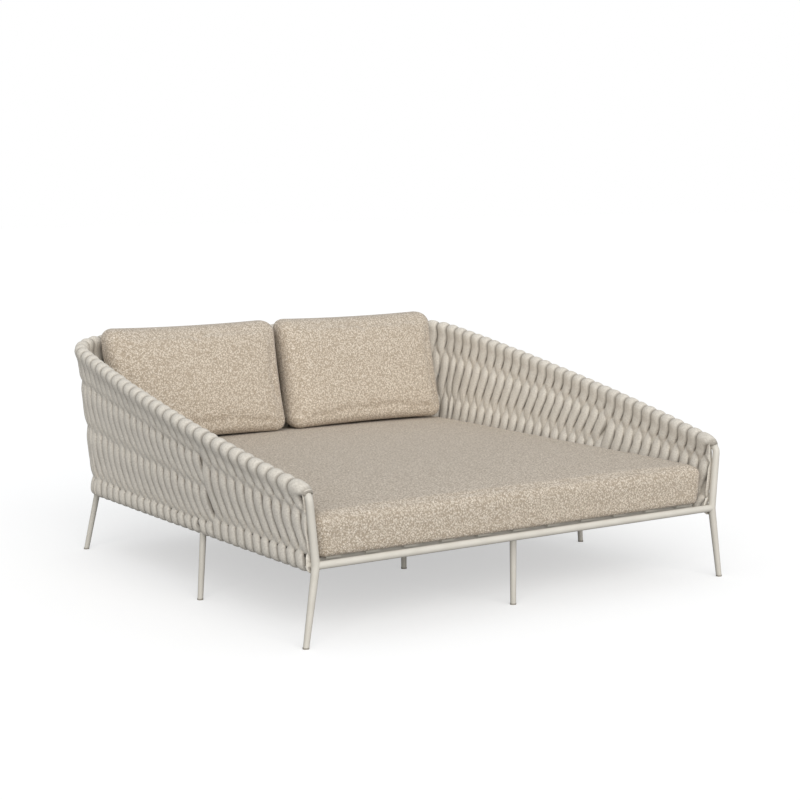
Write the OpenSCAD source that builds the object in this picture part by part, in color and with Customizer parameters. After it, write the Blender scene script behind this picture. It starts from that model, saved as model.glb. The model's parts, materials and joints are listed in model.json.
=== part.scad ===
// Double daybed: a round-tube frame on splayed legs, a bent top rail that climbs to the back,
// flat padded straps wound round the top and bottom rails, a thick mattress and two back cushions.
// Millimetres. +X is to the right seen from the front, -Y is the open front, +Z is up.
// The origin is on the floor under the middle of the object.

/* [Overall] */
// Depth over the front posts and the back straps
depth = 2142; // [1900:1:2400]
// Distance from the middle to each side bottom rail's axis
base_half_w = 918; // [860:1:960]
// Distance from the middle to the top rail's axis where it bulges furthest
top_half_w = 1001; // [985:1:1040]
// Height of the bottom rails' axis
rail_z = 285; // [240:1:330]
// Height of the top rail's axis at the front posts
top_front_z = 537; // [510:1:580]

/* [Frame tubes] */
// Diameter of the rails and posts
tube_d = 28; // [24:1:32]
// How far a front post leans out over its height
post_flare = 20; // [5:1:40]
// Radius of each side of the top rail, seen from above
side_arc_r = 8500; // [6000:100:12000]
// Radius of the top rail's back corners, seen from above
top_corner_r = 265; // [230:5:320]
// Rise of the top rail for each unit of its length
top_slope = 0.179; // [0.14:0.001:0.2]
// Length of the bend from each front post into the top rail
bend_reach = 42; // [38:1:70]
// Radius of the bottom rail's back corners, seen from above
base_corner_r = 200; // [170:5:260]
// How far the back bottom rail lies in front of the back top rail
back_flare = 70; // [40:1:90]

/* [Legs] */
// Diameter of a leg at the floor
foot_d = 22; // [18:1:26]
// How far each front foot stands outside its rail
front_splay = 44; // [10:1:70]
// How far each side middle foot stands outside its rail
side_splay = 21; // [0:1:40]
// How far each back foot stands outside its rail corner
back_splay = 64; // [20:1:90]
// Distance of the front centre leg behind the front rail
front_leg_inset = 99; // [60:1:140]
// Spacing of the three rows of centre legs
leg_row_pitch = 755; // [680:1:780]
// Thickness of a glide under a leg
glide_h = 6; // [3:0.5:10]
// Diameter of a glide
glide_d = 24; // [20:1:28]

/* [Deck] */
// Width of a cross beam
beam_w = 30; // [20:1:40]
// Height of a cross beam
beam_h = 30; // [20:1:40]
// Width of a deck slat
slat_w = 60; // [40:1:90]
// Thickness of a deck slat
slat_t = 8; // [4:0.5:12]
// Number of deck slats
slat_count = 11; // [7:1:15]

/* [Straps] */
// Thickness of a padded strap
strap_t = 9; // [5:0.5:11]
// Distance from one strap to the next along the top rail
strap_pitch = 62.5; // [56:0.5:75]
// Gap between neighbouring straps
strap_gap = 2; // [1:0.5:5]
// Gap between a strap and the tube that it is wound round
strap_fit = 0.4; // [0.3:0.1:1]

/* [Mattress] */
// Thickness of the mattress at its edge
mattress_h = 155; // [120:1:180]
// Rise of the mattress top in its middle
mattress_crown = 24; // [5:1:30]
// Rounding of the mattress edges
mattress_edge_r = 38; // [20:1:44]
// Radius of the mattress's front corners
mattress_front_r = 50; // [40:1:70]
// Gap between the mattress and the straps
mattress_gap = 5; // [3:1:12]

/* [Back cushions] */
// Distance from a cushion's outer side to the bottom rail's axis
cushion_side_gap = 70; // [60:1:150]
// How much farther the cushions keep from the top rail at its widest
cushion_flare_gap = 83; // [60:1:140]
// Height of a back cushion, measured up its face
cushion_h = 521; // [440:1:560]
// Thickness of a back cushion at its edge
cushion_t = 135; // [110:1:150]
// Swell of a cushion's front face
cushion_crown = 30; // [8:1:36]
// Swell of a cushion's back face
cushion_back_crown = 86; // [40:1:95]
// Radius of a cushion's corners
cushion_corner_r = 54; // [40:1:80]
// Backward lean of the cushions in degrees
cushion_lean = 13; // [9:0.5:15]
// Gap between the two cushions
cushion_split = 14; // [6:1:40]

/* [Hidden] */

FRAME = "#dcd8cc";
STRAP = "#c9c4b8";
FABRIC = "#b3a48c";
FOAM = "#e9e2c8";
GLIDE = "#6b675f";

// A round tube's facets, a wide bend's facets and a swept tube's sides
$fn = 64;
bend_facets = 256;
sweep_sides = 16;

// Frame: radii, axis places and the top rail's plan, all worked out from the sizes above
tube_r = tube_d / 2;
foot_r = foot_d / 2;
slim_share = 13 / 14;
slim_r = tube_r * slim_share;
stout_share = 15 / 14;
stout_r = tube_r * stout_share;
strap_depth = tube_r + strap_fit + strap_t;
strap_bow = pow(strap_pitch * 7 / 16, 2) / (2 * top_corner_r);
front_y = tube_r - depth / 2;
top_back_y = depth / 2 - strap_depth - strap_bow;
base_back_y = top_back_y - back_flare;
bulge_share = 0.496;
bulge_y = front_y + bulge_share * depth;
side_c = [top_half_w - side_arc_r, bulge_y];
corner_y = top_back_y - top_corner_r;
corner_x = side_c.x + sqrt(pow(side_arc_r - top_corner_r, 2) - pow(corner_y - side_c.y, 2));
corner_turn = asin((corner_y - side_c.y) / (side_arc_r - top_corner_r));
front_turn = asin((front_y - side_c.y) / side_arc_r);
base_corner = [base_half_w - base_corner_r, base_back_y - base_corner_r];

// Lengths along half of the top rail: its side, its back corner and half of its back
side_len = side_arc_r * (corner_turn - front_turn) * PI / 180;
corner_len = top_corner_r * (90 - corner_turn) * PI / 180;
half_len = side_len + corner_len + corner_x;

// Places where the straps begin, how many fill half of the rail and their true spacing
first_strap_s = bend_reach + strap_pitch / 2;
half_count = round((half_len - first_strap_s) / strap_pitch + 1 / 2);
pitch = (half_len - first_strap_s) / (half_count - 1 / 2);

// Legs: the point where each one meets its rail, and the point where it meets the floor
beam_top = rail_z + tube_r - slat_t;
beam_z = beam_top - beam_h / 2;
row_y = [for (row = [0:2]) front_y + front_leg_inset + row * leg_row_pitch];
back_leg_turn = 38;
seam_turn = 67;
back_leg_dir = [cos(back_leg_turn), sin(back_leg_turn)];
back_leg_top = base_corner + base_corner_r * back_leg_dir;
back_leg_foot = base_corner + (base_corner_r + back_splay) * back_leg_dir;
front_foot = [base_half_w + front_splay, front_y];
middle_foot = [base_half_w + side_splay, row_y[1]];

// Wadding between a cushion's core and its cover, as a share of the edge rounding
wadding_share = 0.45;
round_share = 0.92;
function wadding(edge_r) = edge_r * wadding_share;

// Mattress: it fills the space between the straps over the deck
deck_z = rail_z + tube_r;
side_slack = strap_pitch / 16;
front_half_w = side_c.x + side_arc_r * cos(front_turn);
mattress_half_w = min(base_half_w, front_half_w) - strap_depth - side_slack - mattress_gap;
mattress_front = front_y + tube_r + mattress_gap;
mattress_back = base_back_y - strap_depth - mattress_gap;
mattress_len = mattress_back - mattress_front;
mattress_back_r = base_corner_r - strap_depth;
mattress_round = min(mattress_edge_r, mattress_front_r * round_share);
mattress_draw = mattress_edge_r / 5;
seat_gap = strap_fit;

// Back cushions: they stand on the mattress, and their swollen backs lean against the back straps
cushion_sink_share = 0.64;
cushion_touch_share = 0.72;
cushion_side = min(base_half_w, top_half_w - cushion_flare_gap) - cushion_side_gap;
cushion_w = cushion_side - cushion_split / 2;
cushion_foot_z = deck_z + seat_gap * 2 + mattress_h + mattress_crown * cushion_sink_share;
cushion_edge_r = min(cushion_t * 0.36, cushion_corner_r * round_share);
cushion_draw = cushion_corner_r / 8;
cushion_touch = cushion_h * cushion_touch_share;
cushion_touch_z = cushion_foot_z + cushion_touch * cos(cushion_lean);
cushion_swell = cushion_back_crown * (1 - pow(2 * cushion_touch_share - 1, 4));
cushion_half_x = cushion_split / 2 + cushion_w / 2;

// Point on the right half of the top rail in plan, and its outward direction, s from the front post
function top_turn(s) =
    s < side_len ? front_turn + s / side_arc_r * 180 / PI :
    s < side_len + corner_len ? corner_turn + (s - side_len) / top_corner_r * 180 / PI : 90;
function top_plan(s) =
    s < side_len ? side_c + side_arc_r * [cos(top_turn(s)), sin(top_turn(s))] :
    s < side_len + corner_len
        ? [corner_x, corner_y] + top_corner_r * [cos(top_turn(s)), sin(top_turn(s))]
        : [half_len - s, top_back_y];

// Height of the top rail's axis: a steady climb, eased to level round the back corner
function top_z(s) =
    s < side_len ? top_front_z + top_slope * s :
    let (u = min(s - side_len, corner_len))
        top_front_z + top_slope * (side_len + u - u * u / (2 * corner_len));
function top_rise(s) =
    s < side_len ? top_slope :
    s < side_len + corner_len ? top_slope * (1 - (s - side_len) / corner_len) : 0;
function top_point(s) = [top_plan(s).x, top_plan(s).y, top_z(s)];

// Where a cushion's back starts at its foot, so that its swell just clears the straps
wall_rise = (cushion_touch_z - rail_z) / (top_z(half_len) - rail_z);
wall_y = base_back_y + back_flare * wall_rise - strap_depth - side_slack;
cushion_back_y = wall_y - cushion_swell - cushion_touch * sin(cushion_lean);

// Point on the right half of the bottom rail under the top rail's point s, and its outward direction
function base_turn(s) =
    s < side_len ? 0 :
    s < side_len + corner_len ? 90 * (s - side_len) / corner_len : 90;
function base_plan(s) =
    s < side_len ? [base_half_w, min(top_plan(s).y, base_corner.y)] :
    s < side_len + corner_len
        ? base_corner + base_corner_r * [cos(base_turn(s)), sin(base_turn(s))]
        : [(half_len - s) * base_corner.x / corner_x, base_back_y];

// Length along the bottom rail to that point, and how wide a strap can be there
function base_run(s) =
    s < side_len ? base_plan(s).y - front_y :
    s < side_len + corner_len
        ? base_corner.y - front_y + base_corner_r * base_turn(s) * PI / 180
        : base_corner.y - front_y + base_corner_r * PI / 2 + base_corner.x - base_plan(s).x;
function base_room(s) = min(pitch, base_run(s + pitch) - base_run(s), base_run(s) - base_run(s - pitch));

function unit(v) = v / norm(v);
function bezier(a, b, c, d, t) =
    pow(1 - t, 3) * a + 3 * t * pow(1 - t, 2) * b + 3 * t * t * (1 - t) * c + pow(t, 3) * d;

// Front corner: the post leans out from the kink, and a bend leads into the top rail
kink = [base_half_w, front_y, rail_z];
bend_end = top_point(bend_reach);
post_top = [base_half_w + post_flare, front_y, bend_end.z - bend_reach * 0.95];
post_dir = unit(post_top - kink);
rail_dir = unit(top_point(bend_reach * 1.02) - bend_end);
bend_pull = bend_reach * 0.55;
bend_steps = 8;
bend_points = [for (k = [0:bend_steps])
    bezier(post_top, post_top + bend_pull * post_dir, bend_end - bend_pull * rail_dir, bend_end,
           k / bend_steps)];

// A tube swept along points, with sides that don't twist
function tangents(points) = [for (i = [0:len(points) - 1])
    unit(points[min(i + 1, len(points) - 1)] - points[max(i - 1, 0)])];
function carry(n, t) = unit(n - (n * t) * t);
function normals(tans) =
    let (first = carry([1, 1 / 3, 1 / 5], tans[0]))
        [for (i = 0, n = first; i < len(tans); i = i + 1, n = i < len(tans) ? carry(n, tans[i]) : n) n];

module swept_tube(points, r, start_dir, end_dir) {
    raw = tangents(points);
    last = len(points) - 1;
    tans = [for (i = [0:last]) i == 0 ? start_dir : i == last ? end_dir : raw[i]];
    norms = normals(tans);
    rings = [for (i = [0:last]) for (k = [0:sweep_sides - 1])
        let (turn = 360 * k / sweep_sides)
            points[i] + r * (cos(turn) * norms[i] + sin(turn) * cross(tans[i], norms[i]))];
    polyhedron(rings, concat(
        [[for (k = [0:sweep_sides - 1]) k]],
        [[for (k = [0:sweep_sides - 1]) last * sweep_sides + sweep_sides - 1 - k]],
        [for (i = [0:last - 1]) for (k = [0:sweep_sides - 1])
            let (a = i * sweep_sides + k, b = i * sweep_sides + (k + 1) % sweep_sides)
                [a, b + sweep_sides, b]],
        [for (i = [0:last - 1]) for (k = [0:sweep_sides - 1])
            let (a = i * sweep_sides + k, b = i * sweep_sides + (k + 1) % sweep_sides)
                [a, a + sweep_sides, b + sweep_sides]]
    ));
}

// A straight round bar from p to q, with its own radius at each end; its seam is kept off the copes
module strut(p, q, r1, r2) {
    d = q - p;
    translate(p)
        rotate([0, acos(d.z / norm(d)), atan2(d.y, d.x)])
            rotate([0, 0, seam_turn])
                cylinder(h = norm(d), r1 = r1, r2 = r2);
}

// The side seen in the sources is the right one: the left one is its mirror image
module on_side(left) {
    if (left) mirror([1, 0, 0]) children();
    else children();
}

// Everything between two heights
module slab(z0, z1) {
    translate([-depth, -depth, z0]) cube([2 * depth, 2 * depth, z1 - z0]);
}

// Tapered leg from its rail to the glide
function leg_end(top, foot) = top + (foot - top) * (rail_z + glide_h) / rail_z;
module leg(top, foot, top_r, top_z) {
    intersection() {
        strut(top, leg_end(top, foot), top_r, foot_r);
        slab(glide_h, top_z);
    }
}

// Front corner: the leg and post are stoutest where they meet, and the rails are coped to them
module front_corner_tube() {
    leg(kink, [front_foot.x, front_foot.y, 0], stout_r, rail_z);
    front_post_tube();
}
module front_post_tube() {
    intersection() {
        strut(kink - tube_d * post_dir, post_top, stout_r, tube_r);
        slab(rail_z, post_top.z + tube_d);
    }
}
module front_post(left) {
    on_side(left) color(FRAME) front_post_tube();
}
module front_leg(left) {
    on_side(left) color(FRAME) leg(kink, [front_foot.x, front_foot.y, 0], stout_r, rail_z);
}

// The front and side rails meet in a mitre: each gives way to what lies past it
module past_mitre(front) {
    translate([base_half_w, front_y, 0])
        rotate([0, 0, front ? 45 : 225])
            translate([0, -depth / 8, 0]) cube([depth / 8, depth / 4, rail_z * 2]);
}
module front_rail() {
    color(FRAME)
        for (left = [false, true])
            on_side(left)
                difference() {
                    translate([0, front_y, rail_z])
                        rotate([0, 90, 0])
                            cylinder(h = base_half_w, r = tube_r);
                    front_corner_tube();
                    past_mitre(true);
                }
}
module side_rail_bar() {
    translate([base_half_w, front_y, rail_z])
        rotate([-90, 0, 0])
            cylinder(h = base_corner.y - front_y, r = tube_r);
}
module side_rail(left) {
    on_side(left) color(FRAME) difference() {
        side_rail_bar();
        front_corner_tube();
        past_mitre(false);
    }
}

// The back bottom rail: a straight run between two round corners
module back_rail_corner() {
    translate([base_corner.x, base_corner.y, rail_z])
        rotate_extrude(angle = 90, $fn = bend_facets)
            translate([base_corner_r, 0]) circle(r = tube_r, $fn = 64);
}
module back_rail() {
    color(FRAME) {
        translate([-base_corner.x, base_back_y, rail_z])
            rotate([0, 90, 0])
                cylinder(h = 2 * base_corner.x, r = tube_r);
        for (left = [false, true])
            on_side(left) back_rail_corner();
    }
}

// The tops of the middle and back legs are coped to the rail that they stand under, their horns
// cut blunt
cope_z = rail_z - tube_r / 2;
module middle_leg(left) {
    on_side(left) color(FRAME) difference() {
        leg([base_half_w, row_y[1], rail_z], [middle_foot.x, middle_foot.y, 0], slim_r, cope_z);
        side_rail_bar();
    }
}
module back_leg(left) {
    on_side(left) color(FRAME) difference() {
        leg([back_leg_top.x, back_leg_top.y, rail_z], [back_leg_foot.x, back_leg_foot.y, 0],
            slim_r, cope_z);
        back_rail_corner();
    }
}
module centre_leg(row) {
    color(FRAME) translate([0, row_y[row], glide_h])
        cylinder(h = beam_top - beam_h - glide_h, r1 = foot_r, r2 = slim_r);
}

// A glide under every leg
module leg_glides() {
    feet = concat(
        [for (side = [-1, 1]) [side * front_foot.x, front_foot.y]],
        [for (side = [-1, 1]) [side * middle_foot.x, middle_foot.y]],
        [for (side = [-1, 1]) [side * back_leg_foot.x, back_leg_foot.y]],
        [for (row = [0:2]) [0, row_y[row]]]
    );
    color(GLIDE)
        for (foot = feet)
            translate([foot.x, foot.y, 0]) cylinder(h = glide_h, r = glide_d / 2);
}

// The top rail: a climbing side with its front bend, and the level back with both round corners
side_steps = 14;
corner_steps = 14;
module top_side_rail(left) {
    run = [for (k = [1:side_steps])
        top_point(bend_reach + (side_len - bend_reach) * k / side_steps)];
    on_side(left) color(FRAME)
        swept_tube(concat(bend_points, run), tube_r, post_dir, corner_dir);
}
corner_dir = unit([-sin(corner_turn), cos(corner_turn), top_slope]);
module back_top_rail() {
    half = [for (k = [0:corner_steps]) top_point(side_len + corner_len * k / corner_steps)];
    other = [for (k = [0:corner_steps])
        let (p = half[corner_steps - k]) [-p.x, p.y, p.z]];
    color(FRAME)
        swept_tube(concat(half, other), tube_r, corner_dir, [corner_dir.x, -corner_dir.y, -corner_dir.z]);
}

// Cross beams carry the centre legs and the deck slats, their ends coped to the side rails
beam_half = base_half_w - slim_r;
module cross_beam_bar(row, extra = 0) {
    translate([-beam_half, row_y[row] - beam_w / 2 - extra, beam_top - beam_h - extra])
        cube([2 * beam_half, beam_w + 2 * extra, beam_h + 2 * extra]);
}
module cross_beam(row) {
    color(FRAME) difference() {
        cross_beam_bar(row);
        for (left = [false, true])
            on_side(left) side_rail_bar();
    }
}

// Deck slats run from front to back over the cross beams
module deck_slats() {
    span = mattress_half_w - slat_w / 2 - mattress_back_r / 4;
    slat_front = mattress_front + mattress_edge_r;
    slat_back = base_back_y - strap_depth - mattress_gap;
    color(FRAME)
        for (k = [0:slat_count - 1]) {
            x = span * (2 * k / (slat_count - 1) - 1);
            inset = abs(x) + slat_w / 2 > base_corner.x ? mattress_back_r / 2 : 0;
            translate([x - slat_w / 2, slat_front, beam_top])
                cube([slat_w, slat_back - slat_front - inset, slat_t]);
        }
}

// One strap: a closed loop round both rails. Its frame has x outward, y along the rail and z up the strap.
// Its flat parts are a little thinner than its bends and reach into them.
ledge = strap_fit / 2;
module strap(s) {
    from = base_plan(s);
    to = top_plan(s);
    turn = (top_turn(s) + base_turn(s)) / 2;
    skew = (top_turn(s) - base_turn(s)) / 2;
    out = (to - from) * [cos(turn), sin(turn)];
    along = (to - from) * [-sin(turn), cos(turn)];
    lean = atan2(out, top_z(s) - rail_z);
    length = norm([out, top_z(s) - rail_z]);
    climb = atan((top_rise(s) * cos(lean) - sin(skew) * sin(lean)) / cos(skew));
    in_corner = s + pitch / 2 > side_len && s - pitch / 2 < side_len + corner_len;
    top_w = in_corner ? pitch * (1 - strap_depth / top_corner_r) - 3 / 2 * strap_gap : pitch - strap_gap;
    base_w = base_room(s) * (in_corner ? 1 - strap_depth / base_corner_r : 1) - strap_gap;
    top_slack = top_w / 2 * abs(sin(skew) * cos(lean) + top_rise(s) * sin(lean))
        + (in_corner ? pow(top_w / 2, 2) / (2 * top_corner_r) : 0);
    base_slack = base_w / 2 * abs(sin(skew))
        + (in_corner ? pow(base_w / 2, 2) / (2 * base_corner_r) : 0);
    r_in = tube_r + strap_fit + max(top_slack, base_slack);
    translate([from.x, from.y, rail_z])
        rotate([0, 0, turn])
            rotate([0, lean, 0]) {
                half_loop(r_in, base_w, 180);
                translate([0, along, length])
                    rotate([climb, 0, 0]) half_loop(r_in, top_w / cos(climb), 0);
                for (x = [-r_in - strap_t + ledge, r_in + ledge])
                    translate([x, 0, 0])
                        rotate([90, 0, 90])
                            linear_extrude(strap_t - 2 * ledge)
                                polygon([
                                    [ledge - base_w / 2, -4 * ledge],
                                    [base_w / 2 - ledge, -4 * ledge],
                                    [along + top_w / 2 - ledge, length + 4 * ledge + tan(climb) * top_w / 2],
                                    [along - top_w / 2 + ledge, length + 4 * ledge - tan(climb) * top_w / 2]
                                ]);
            }
}
module half_loop(r_in, width, from) {
    rotate([90, from, 0])
        rotate_extrude(angle = 180)
            translate([r_in, -width / 2]) square([strap_t, width]);
}

// Straps part round the beams and legs that join the bottom rail
leg_gap = slim_r + strap_gap;
module leg_passage(lean_out) {
    translate([-leg_gap, -leg_gap, -2 * strap_depth])
        cube([2 * leg_gap + lean_out, 2 * leg_gap, 2 * strap_depth - tube_r / 3]);
}
function near_row(s, row) = s < side_len && abs(base_plan(s).y - row_y[row]) < pitch;
function near_back_leg(s) = norm(base_plan(s) - back_leg_top) < pitch;
module open_strap(s) {
    difference() {
        strap(s);
        for (row = [0:2])
            if (near_row(s, row)) cross_beam_bar(row, strap_gap);
        if (near_row(s, 1))
            translate([base_half_w, row_y[1], rail_z])
                leg_passage(side_splay * strap_depth / rail_z);
        if (near_back_leg(s))
            translate([back_leg_top.x, back_leg_top.y, rail_z])
                rotate([0, 0, back_leg_turn])
                    leg_passage(back_splay * strap_depth / rail_z);
    }
}
module strap_run(first, last, left) {
    on_side(left) color(STRAP)
        for (i = [first:last]) {
            s = first_strap_s + i * pitch;
            if (near_row(s, 0) || near_row(s, 1) || near_row(s, 2) || near_back_leg(s)) open_strap(s);
            else strap(s);
        }
}
side_last = floor((side_len - first_strap_s) / pitch);
corner_last = floor((side_len + corner_len - first_strap_s) / pitch);
module side_straps(left) {
    strap_run(0, side_last, left);
}
module corner_straps(left) {
    strap_run(side_last + 1, corner_last, left);
}
module back_straps() {
    strap_run(corner_last + 1, half_count - 1, false);
    strap_run(corner_last + 1, half_count - 1, true);
}

// A cushion's outline: round corners, and sides that draw in between them
arc_steps = 4;
side_parts = 8;
outline_count = 4 * (arc_steps + side_parts);
function corner_of(q, hx, hy, r) =
    let (sx = q == 0 || q == 3 ? 1 : -1, sy = q < 2 ? 1 : -1) [sx * (hx - r), sy * (hy - r)];
function outline(hx, hy, front_r, back_r, draw) = [
    for (q = [0:3])
        let (r = q < 2 ? back_r : front_r, next = (q + 1) % 4, next_r = next < 2 ? back_r : front_r,
             c = corner_of(q, hx, hy, r), d = corner_of(next, hx, hy, next_r), turn = 90 * (q + 1),
             a = c + r * [cos(turn), sin(turn)], b = d + next_r * [cos(turn), sin(turn)])
            for (k = [0:arc_steps + side_parts - 1])
                k <= arc_steps
                    ? c + r * [cos(90 * q + 90 * k / arc_steps), sin(90 * q + 90 * k / arc_steps)]
                    : let (t = (k - arc_steps) / side_parts)
                        a + (b - a) * t - draw * 4 * t * (1 - t) * [cos(turn), sin(turn)]
];

// A stuffed form: flat-sided in the middle of its height, rounded at its edges, crowned above and below
edge_turns = [0, 30, 60, 90];
inner_shares = [0.86, 0.66, 0.42, 0.18];
function crown_at(p, hx, hy) = max(0, 1 - pow(p.x / hx, 4)) * max(0, 1 - pow(p.y / hy, 4));
function form_ring(hx, hy, front_r, back_r, draw, inset, share, z, crown) = [
    for (p = outline(hx - inset, hy - inset, front_r - inset, back_r - inset, draw))
        [p.x * share, p.y * share, z + crown * crown_at(p * share, hx, hy)]
];
function form_rings(hx, hy, h, front_r, back_r, edge_r, top_crown, under_crown, draw) =
    let (n = len(inner_shares) - 1, m = len(edge_turns) - 1)
        concat(
            [for (i = [0:n])
                form_ring(hx, hy, front_r, back_r, draw, edge_r, inner_shares[n - i], 0, -under_crown)],
            [for (i = [0:m])
                form_ring(hx, hy, front_r, back_r, draw, edge_r * (1 - cos(edge_turns[m - i])), 1,
                          edge_r * (1 - sin(edge_turns[m - i])), -under_crown)],
            [for (turn = edge_turns)
                form_ring(hx, hy, front_r, back_r, draw, edge_r * (1 - cos(turn)), 1,
                          h - edge_r * (1 - sin(turn)), top_crown)],
            [for (share = inner_shares)
                form_ring(hx, hy, front_r, back_r, draw, edge_r, share, h, top_crown)]
        );

// A closed solid through a stack of rings, with a point in the middle of each end
module ring_solid(rings, foot, summit) {
    n = outline_count;
    last = len(rings) - 1;
    points = concat([for (ring = rings) each ring], [foot, summit]);
    polyhedron(points, concat(
        [for (k = [0:n - 1]) [len(points) - 2, k, (k + 1) % n]],
        [for (i = [0:last - 1]) for (k = [0:n - 1])
            let (a = i * n + k, b = i * n + (k + 1) % n) [a, b + n, b]],
        [for (i = [0:last - 1]) for (k = [0:n - 1])
            let (a = i * n + k, b = i * n + (k + 1) % n) [a, a + n, b + n]],
        [for (k = [0:n - 1]) [last * n + k, len(points) - 1, last * n + (k + 1) % n]]
    ));
}

// The mattress's form, and the plain block of foam inside its padded cover
module mattress_form() {
    translate([0, (mattress_front + mattress_back) / 2, deck_z + seat_gap])
        ring_solid(
            form_rings(mattress_half_w, mattress_len / 2, mattress_h, mattress_front_r, mattress_back_r,
                       mattress_round, mattress_crown, 0, mattress_draw),
            [0, 0, 0], [0, 0, mattress_h + mattress_crown]
        );
}
module mattress_block(inset) {
    translate([0, (mattress_front + mattress_back) / 2, deck_z + seat_gap + inset])
        linear_extrude(mattress_h - 2 * inset)
            polygon(outline(mattress_half_w - inset, mattress_len / 2 - inset, mattress_front_r - inset,
                            mattress_back_r - inset, mattress_draw));
}
module mattress_core() {
    color(FOAM) mattress_block(wadding(mattress_round) + strap_fit);
}
module mattress_cover() {
    color(FABRIC) difference() {
        mattress_form();
        mattress_block(wadding(mattress_round));
    }
}

// A back cushion's rings stand up, one face forward, and lean back over a level foot
function stand_up(p) = [
    cushion_half_x + p.x,
    cushion_back_y - p.z + (p.y + cushion_h / 2) * sin(cushion_lean),
    cushion_foot_z + (p.y + cushion_h / 2) * cos(cushion_lean)
];
module cushion_form(left) {
    rings = form_rings(cushion_w / 2, cushion_h / 2, cushion_t, cushion_corner_r, cushion_corner_r,
                       cushion_edge_r, cushion_crown, cushion_back_crown, cushion_draw);
    on_side(left)
        ring_solid([for (ring = rings) [for (p = ring) stand_up(p)]],
                   stand_up([0, 0, -cushion_back_crown]), stand_up([0, 0, cushion_t + cushion_crown]));
}
module cushion_block(left, inset) {
    line = outline(cushion_w / 2 - inset, cushion_h / 2 - inset, cushion_corner_r - inset,
                   cushion_corner_r - inset, cushion_draw);
    on_side(left)
        ring_solid([for (z = [inset, cushion_t - inset]) [for (p = line) stand_up([p.x, p.y, z])]],
                   stand_up([0, 0, inset]), stand_up([0, 0, cushion_t - inset]));
}
module cushion_core(left) {
    color(FOAM) cushion_block(left, wadding(cushion_edge_r) + strap_fit);
}
module cushion_cover(left) {
    color(FABRIC) difference() {
        cushion_form(left);
        cushion_block(left, wadding(cushion_edge_r));
    }
}

front_rail();
side_rail(true);  // left_side_rail
side_rail(false);  // right_side_rail
back_rail();
front_post(true);  // left_front_post
front_post(false);  // right_front_post
top_side_rail(true);  // left_top_rail
top_side_rail(false);  // right_top_rail
back_top_rail();
front_leg(true);  // left_front_leg
front_leg(false);  // right_front_leg
middle_leg(true);  // left_middle_leg
middle_leg(false);  // right_middle_leg
back_leg(true);  // left_back_leg
back_leg(false);  // right_back_leg
centre_leg(0);  // front_centre_leg
centre_leg(1);  // middle_centre_leg
centre_leg(2);  // rear_centre_leg
leg_glides();
cross_beam(0);  // front_cross_beam
cross_beam(1);  // middle_cross_beam
cross_beam(2);  // rear_cross_beam
deck_slats();
side_straps(true);  // left_side_straps
side_straps(false);  // right_side_straps
corner_straps(true);  // left_corner_straps
corner_straps(false);  // right_corner_straps
back_straps();
mattress_cover();
mattress_core();
cushion_cover(true);  // left_cushion_cover
cushion_core(true);  // left_cushion_core
cushion_cover(false);  // right_cushion_cover
cushion_core(false);  // right_cushion_core
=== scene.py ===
"""Looks of the double daybed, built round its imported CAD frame.

A powder-coated frame of round tube stands on splayed legs. Padded straps are looped round its top
and bottom rails, and the two legs of each loop are twisted round each other. A mattress lies on
the deck, and two cushions lean against the back. Lengths are in metres, x to the right of someone
who stands in front, y to the back and z up.
"""

import json
import logging
import math
from dataclasses import dataclass, replace
from enum import Enum
from functools import cached_property
from typing import Any, Callable, Iterable, Sequence, Union

import bmesh
import bpy
import numpy as np
from mathutils import Matrix, Vector

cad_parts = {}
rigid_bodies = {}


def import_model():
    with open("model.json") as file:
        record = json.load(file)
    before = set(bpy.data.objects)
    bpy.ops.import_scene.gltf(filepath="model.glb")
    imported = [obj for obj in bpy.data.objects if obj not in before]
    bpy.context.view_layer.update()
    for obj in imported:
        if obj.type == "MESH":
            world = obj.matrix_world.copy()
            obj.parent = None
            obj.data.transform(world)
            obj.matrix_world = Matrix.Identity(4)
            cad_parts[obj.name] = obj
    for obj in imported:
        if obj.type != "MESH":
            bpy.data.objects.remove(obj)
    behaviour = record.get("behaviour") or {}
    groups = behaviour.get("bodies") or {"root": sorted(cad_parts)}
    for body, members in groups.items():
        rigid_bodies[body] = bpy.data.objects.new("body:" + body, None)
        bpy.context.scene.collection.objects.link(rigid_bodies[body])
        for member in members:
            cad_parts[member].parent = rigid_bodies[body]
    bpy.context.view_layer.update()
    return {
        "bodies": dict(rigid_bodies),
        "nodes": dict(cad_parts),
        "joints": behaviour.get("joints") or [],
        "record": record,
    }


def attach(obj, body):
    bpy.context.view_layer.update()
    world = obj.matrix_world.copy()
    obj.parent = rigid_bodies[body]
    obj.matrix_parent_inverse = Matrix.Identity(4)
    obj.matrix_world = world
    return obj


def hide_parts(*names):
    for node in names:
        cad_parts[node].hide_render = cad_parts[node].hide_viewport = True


LOG = logging.getLogger("daybed")
SCREEN_WHITE = 255.0
SCREEN_GAMMA = 2.2
WAVE_RATE = 20.0
CROWN_POWER = 4
QUARTER = math.pi / 2.0
TINY = 1e-6

Colour = tuple[float, float, float]
Band = tuple[float, float]
Number = Union[float, "Field"]
Socket = bpy.types.NodeSocket
Mover = Callable[[np.ndarray], np.ndarray]


class Slot(str, Enum):
    """Names of material slots in the part's record; nothing here uses them."""

    STRAP = "strap_textile"
    CUSHION = "cushion_fabric"


class Side(int, Enum):
    """A half of the daybed, as the sign of its x."""

    LEFT = -1
    RIGHT = 1


def smooth_step(x: np.ndarray) -> np.ndarray:
    """Eases from 0 to 1 as x goes from 0 to 1."""
    x = np.clip(x, 0.0, 1.0)
    return x * x * (3.0 - 2.0 * x)


def unit(v: np.ndarray) -> np.ndarray:
    """Gives vectors, which lie along the last axis, a length of one."""
    return v / np.linalg.norm(v, axis=-1, keepdims=True)


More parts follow.
